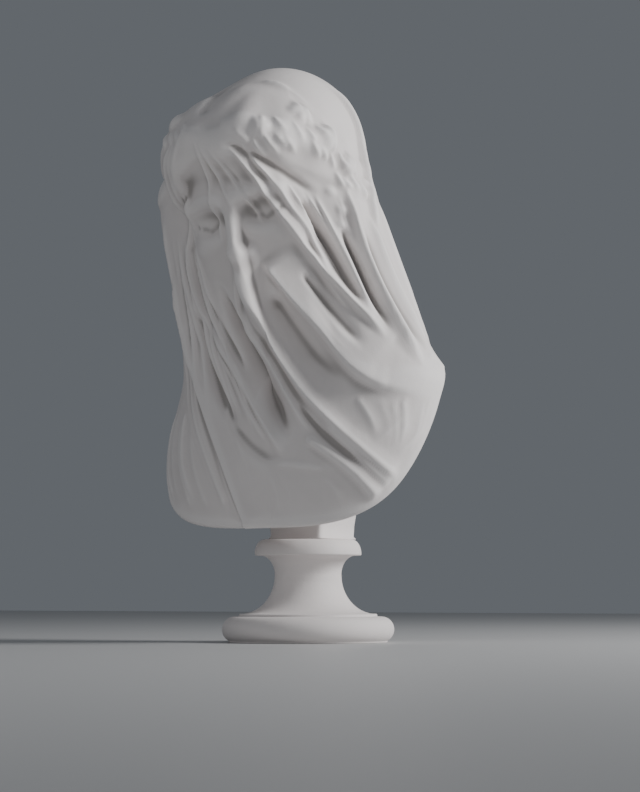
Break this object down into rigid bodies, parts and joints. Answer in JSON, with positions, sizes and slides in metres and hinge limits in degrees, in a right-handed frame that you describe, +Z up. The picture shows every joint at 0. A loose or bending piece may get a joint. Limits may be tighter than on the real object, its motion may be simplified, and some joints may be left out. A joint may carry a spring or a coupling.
{
  "type": "veiled bust",
  "caption": "Plaster bust of a veiled woman with bowed head, wreath and folded drapery under the veil, on a post and a turned round socle.",
  "frame": {"origin": "centre of the socle's flat underside, on the surface it stands on", "axes": "+Z up along the socle's axis; the chest faces -Y; +X is to her left"},
  "size_m": [0.3067, 0.2528, 0.5801],
  "materials": {
    "bust_plaster": "matt cast plaster, off-white",
    "socle_plaster": "matt cast plaster, off-white"
  },
  "bodies": {
    "root": {"veiled_bust": "bust_plaster", "socle": "socle_plaster"}
  },
  "joints": []
}
